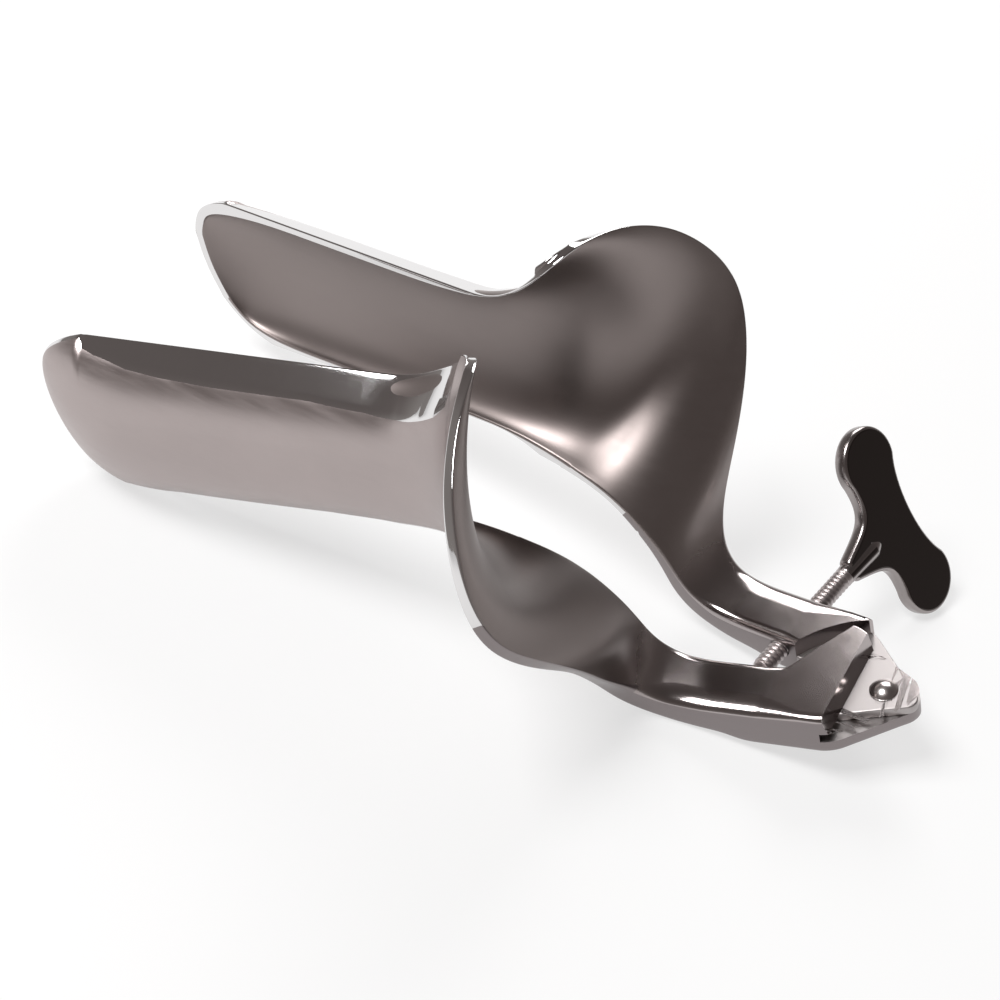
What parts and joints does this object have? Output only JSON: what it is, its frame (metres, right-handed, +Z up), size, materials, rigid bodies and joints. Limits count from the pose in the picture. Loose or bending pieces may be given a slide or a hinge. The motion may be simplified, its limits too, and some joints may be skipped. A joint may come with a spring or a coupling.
{
  "type": "bivalve speculum",
  "caption": "Hinged bivalve speculum in stainless steel with grooved blades, flared bell and a wing screw that spreads the valves.",
  "frame": {"origin": "on the table, below the middle of the instrument as it lies at rest", "axes": "+Z up from the table, +X from the blade tips towards the hinge, +Y from the near valve towards the far valve with the wing screw"},
  "size_m": [0.1806, 0.1054, 0.0733],
  "materials": {
    "steel": "satin",
    "bright_steel": "polished"
  },
  "bodies": {
    "near_half": {"near_valve": "steel", "hinge_rivet": "bright_steel"},
    "far_half": {"far_valve": "steel"},
    "spindle": {"screw_spindle": "bright_steel"},
    "wing": {"screw_wing": "bright_steel"}
  },
  "joints": [
    {"name": "valve_opening", "type": "hinge", "parent": "near_half", "child": "far_half", "pos_m": [0.08259, 0.00159, 0.0154], "axis": [0.3396, 0.1312, -0.9314], "range_deg": [-18, 16]},
    {"name": "screw_advance", "type": "slide", "parent": "far_half", "child": "spindle", "axis": [-0.2071, -0.9555, -0.2101], "range_m": [-0.0079, 0.007]},
    {"name": "wing_turn", "type": "hinge", "parent": "spindle", "child": "wing", "pos_m": [0.06571, 0.02456, 0.01313], "axis": [-0.2071, -0.9555, -0.2101], "range_deg": [-2570, 2280]}
  ],
  "couplings": [
    {"joint": "screw_advance", "follows": "valve_opening", "m_per_rad": 0.0248},
    {"joint": "wing_turn", "follows": "valve_opening", "ratio": 141.66}
  ]
}
